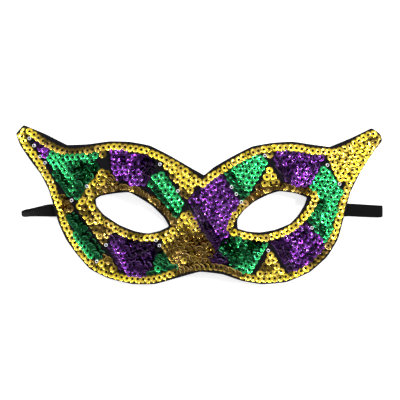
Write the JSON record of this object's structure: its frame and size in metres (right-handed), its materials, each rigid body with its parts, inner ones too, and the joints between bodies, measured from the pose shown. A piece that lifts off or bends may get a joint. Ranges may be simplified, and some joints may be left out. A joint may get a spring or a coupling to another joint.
{
  "type": "mardi gras mask",
  "caption": "Formed cat-eye half mask of black cloth with eye holes and nose arch, covered in gold, purple and green cup sequins in harlequin patches, with a flat elastic head strap.",
  "frame": {"origin": "on the surface that the mask lies on, under the middle of its outline", "axes": "+X to the right as seen from the front, +Y towards the brow, +Z out of the face, up from the surface it lies on"},
  "size_m": [0.2348, 0.1023, 0.0348],
  "materials": {
    "cloth": "matt woven cloth over a formed base",
    "elastic": "matt woven elastic",
    "gold_sequins": "metallised film, glossy",
    "purple_sequins": "metallised film, glossy",
    "green_sequins": "metallised film, glossy",
    "seed_bead": "silver-lined glass, glossy"
  },
  "bodies": {
    "root": {"mask_shell": "cloth", "border_sequins": "gold_sequins", "left_eye_sequins": "gold_sequins", "right_eye_sequins": "gold_sequins", "gold_temple_left": "gold_sequins", "gold_eye_left": "gold_sequins", "gold_chip_left": "gold_sequins", "gold_crown": "gold_sequins", "gold_nose": "gold_sequins", "gold_chip_right": "gold_sequins", "gold_brow_right": "gold_sequins", "gold_horn_right": "gold_sequins", "gold_cheek_right": "gold_sequins", "gold_cheek_left": "gold_sequins", "purple_horn_left": "purple_sequins", "purple_brow_left": "purple_sequins", "purple_nose": "purple_sequins", "purple_chin": "purple_sequins", "purple_brow_right": "purple_sequins", "purple_cheek_right": "purple_sequins", "purple_cheek_left": "purple_sequins", "green_temple_left": "green_sequins", "green_brow_left": "green_sequins", "green_brow_right": "green_sequins", "green_temple_right": "green_sequins", "green_cheek_right": "green_sequins", "green_chin": "green_sequins", "green_cheek_left": "green_sequins", "seed_bead_01": "seed_bead", "seed_bead_02": "seed_bead", "seed_bead_03": "seed_bead", "seed_bead_04": "seed_bead", "seed_bead_05": "seed_bead", "seed_bead_06": "seed_bead", "seed_bead_07": "seed_bead", "seed_bead_08": "seed_bead", "seed_bead_09": "seed_bead", "seed_bead_10": "seed_bead", "seed_bead_11": "seed_bead", "seed_bead_12": "seed_bead", "seed_bead_13": "seed_bead", "seed_bead_14": "seed_bead", "seed_bead_15": "seed_bead", "seed_bead_16": "seed_bead", "seed_bead_17": "seed_bead", "seed_bead_18": "seed_bead", "seed_bead_19": "seed_bead", "seed_bead_20": "seed_bead", "elastic_strap": "elastic"}
  },
  "joints": []
}
